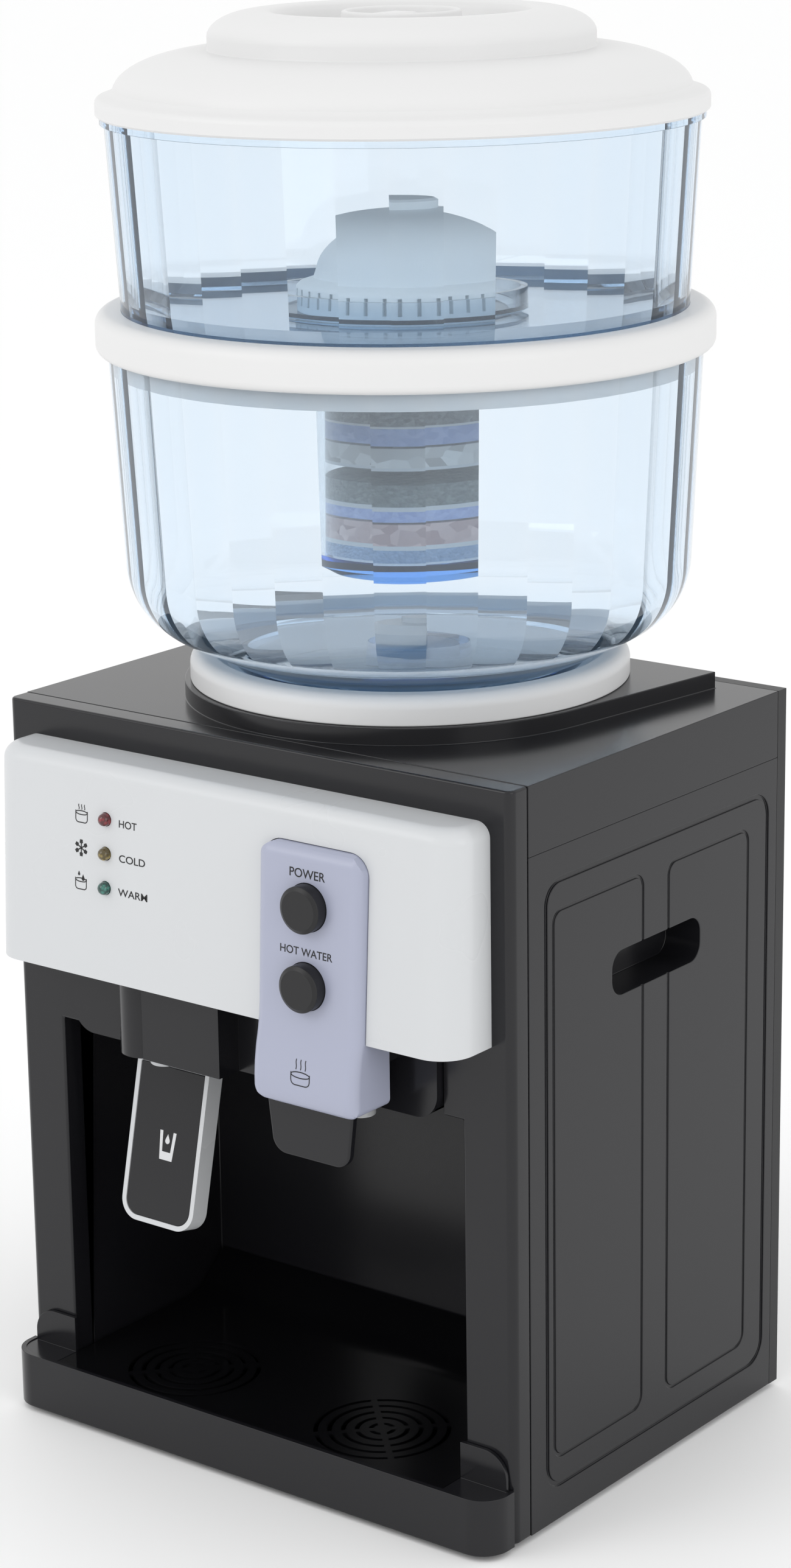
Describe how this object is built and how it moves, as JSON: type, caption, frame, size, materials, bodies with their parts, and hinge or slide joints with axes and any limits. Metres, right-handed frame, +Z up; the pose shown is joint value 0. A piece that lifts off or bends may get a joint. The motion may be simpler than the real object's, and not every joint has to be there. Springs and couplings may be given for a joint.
{
  "type": "countertop water dispenser",
  "caption": "Black countertop cabinet with a hot tap, a cold tap and a removable drip tray, under a clear two-stage gravity filter tank with a domed white lid.",
  "frame": {"origin": "centre of the bounding box's underside, on the surface that the feet stand on", "axes": "+Z up; -Y towards the user, the side with the taps; +X to the user's right"},
  "size_m": [0.29, 0.3028, 0.666],
  "materials": {
    "black_gloss": "glossy black moulded plastic",
    "black_satin": "satin black moulded plastic",
    "deck_gloss": "polished black moulded plastic",
    "white_gloss": "glossy white moulded plastic",
    "lilac_grey": "glossy lilac-grey moulded plastic",
    "clear_blue": "clear plastic with a light blue tint",
    "led_red": "red light pipe",
    "led_amber": "amber light pipe",
    "led_green": "green light pipe",
    "circuit_board": "green solder mask",
    "silicone": "translucent silicone rubber",
    "rubber_black": "black rubber",
    "steel": "brushed stainless steel",
    "galvanised": "galvanised sheet steel",
    "aluminium": "extruded aluminium",
    "foam": "closed-cell foam",
    "ceramic": "porous white ceramic",
    "filter_grain": "filter grains in layers",
    "rocker_red": "glossy red rocker",
    "rocker_green": "glossy green rocker"
  },
  "bodies": {
    "root": {"base_pan": "galvanised", "feet": "rubber_black", "front_frame": "black_gloss", "niche_liner": "black_gloss", "side_panel_left": "black_gloss", "side_panel_right": "black_gloss", "rear_panel": "black_satin", "top_cover": "black_gloss", "control_panel": "white_gloss", "display_board": "circuit_board", "led_red": "led_red", "led_amber": "led_amber", "led_green": "led_green", "control_pod": "lilac_grey", "switch_board": "circuit_board", "button_domes": "silicone", "tap_housing": "black_gloss", "cold_valve": "white_gloss", "hot_valve": "white_gloss", "tap_nozzles": "white_gloss", "hinge_pins": "steel", "seat_collar": "white_gloss", "seat_funnel": "white_gloss", "tank_shelf": "galvanised", "cold_tank": "steel", "cold_tank_foam": "foam", "thermoelectric_module": "ceramic", "heat_sink": "aluminium", "fan_frame": "black_satin", "hot_tank": "steel", "heater_band": "steel", "thermostat": "steel", "water_hoses": "silicone", "power_supply": "galvanised", "mains_inlet": "black_satin", "switch_bezels": "black_satin", "drain_spout": "white_gloss", "rear_screws": "steel"},
    "tank": {"lower_tank": "clear_blue", "tank_valve": "white_gloss"},
    "bowl": {"middle_ring": "white_gloss", "upper_bowl": "clear_blue", "dome_dish": "clear_blue", "ceramic_dome": "ceramic", "filter_cartridge": "clear_blue", "filter_media": "filter_grain"},
    "lid": {"lid": "white_gloss"},
    "drip_tray": {"drip_tray": "black_gloss"},
    "tray_deck": {"tray_deck": "deck_gloss"},
    "power_button": {"power_button": "black_gloss"},
    "hot_water_button": {"hot_water_button": "black_gloss"},
    "cold_paddle": {"cold_paddle": "white_gloss", "cold_paddle_face": "black_gloss"},
    "cold_stem": {"cold_valve_stem": "white_gloss"},
    "hot_lever": {"hot_lever": "black_gloss"},
    "hot_stem": {"hot_valve_stem": "white_gloss"},
    "fan_rotor": {"fan_rotor": "black_satin"},
    "hot_switch": {"hot_switch": "rocker_red"},
    "cold_switch": {"cold_switch": "rocker_green"},
    "drain_cap": {"drain_cap": "black_satin"}
  },
  "joints": [
    {"name": "tank_lift", "type": "slide", "parent": "root", "child": "tank", "axis": [0, 0, 1], "range_m": [0, 0.12]},
    {"name": "bowl_lift", "type": "slide", "parent": "tank", "child": "bowl", "axis": [0, 0, 1], "range_m": [0, 0.15]},
    {"name": "lid_lift", "type": "slide", "parent": "bowl", "child": "lid", "axis": [0, 0, 1], "range_m": [0, 0.08]},
    {"name": "tray_slide", "type": "slide", "parent": "root", "child": "drip_tray", "axis": [0, -1, 0], "range_m": [0, 0.11]},
    {"name": "deck_lift", "type": "slide", "parent": "drip_tray", "child": "tray_deck", "axis": [0, 0, 1], "range_m": [0, 0.03]},
    {"name": "power_press", "type": "slide", "parent": "root", "child": "power_button", "axis": [0, 1, 0], "range_m": [0, 0.0025], "stiffness_N_per_m": 400, "springref_m": -0.001},
    {"name": "hot_water_press", "type": "slide", "parent": "root", "child": "hot_water_button", "axis": [0, 1, 0], "range_m": [0, 0.0025], "stiffness_N_per_m": 400, "springref_m": -0.001},
    {"name": "cold_paddle_push", "type": "hinge", "parent": "root", "child": "cold_paddle", "pos_m": [-0.058, -0.0846, 0.21], "axis": [1, 0, 0], "range_deg": [0, 15], "stiffness_Nm_per_rad": 0.3, "springref_deg": -8.59},
    {"name": "cold_stem_slide", "type": "slide", "parent": "root", "child": "cold_stem", "axis": [0, -1, 0], "range_m": [0, 0.0036]},
    {"name": "hot_lever_push", "type": "hinge", "parent": "root", "child": "hot_lever", "pos_m": [0.057, -0.1306, 0.229], "axis": [1, 0, 0], "range_deg": [0, 12], "stiffness_Nm_per_rad": 0.3, "springref_deg": -8.59},
    {"name": "hot_stem_slide", "type": "slide", "parent": "root", "child": "hot_stem", "axis": [0, 1, 0], "range_m": [0, 0.0044]},
    {"name": "fan_spin", "type": "hinge", "parent": "root", "child": "fan_rotor", "pos_m": [-0.067, 0.0944, 0.268], "axis": [0, 1, 0], "continuous": true},
    {"name": "hot_switch_rock", "type": "hinge", "parent": "root", "child": "hot_switch", "pos_m": [0.045, 0.1044, 0.153], "axis": [1, 0, 0], "range_deg": [0, 12]},
    {"name": "cold_switch_rock", "type": "hinge", "parent": "root", "child": "cold_switch", "pos_m": [0.075, 0.1044, 0.153], "axis": [1, 0, 0], "range_deg": [0, 12]},
    {"name": "drain_cap_pull", "type": "slide", "parent": "root", "child": "drain_cap", "axis": [0, 1, 0], "range_m": [0, 0.02]}
  ],
  "couplings": [
    {"joint": "cold_stem_slide", "follows": "cold_paddle_push", "m_per_rad": 0.01335},
    {"joint": "hot_stem_slide", "follows": "hot_lever_push", "m_per_rad": 0.0205}
  ]
}
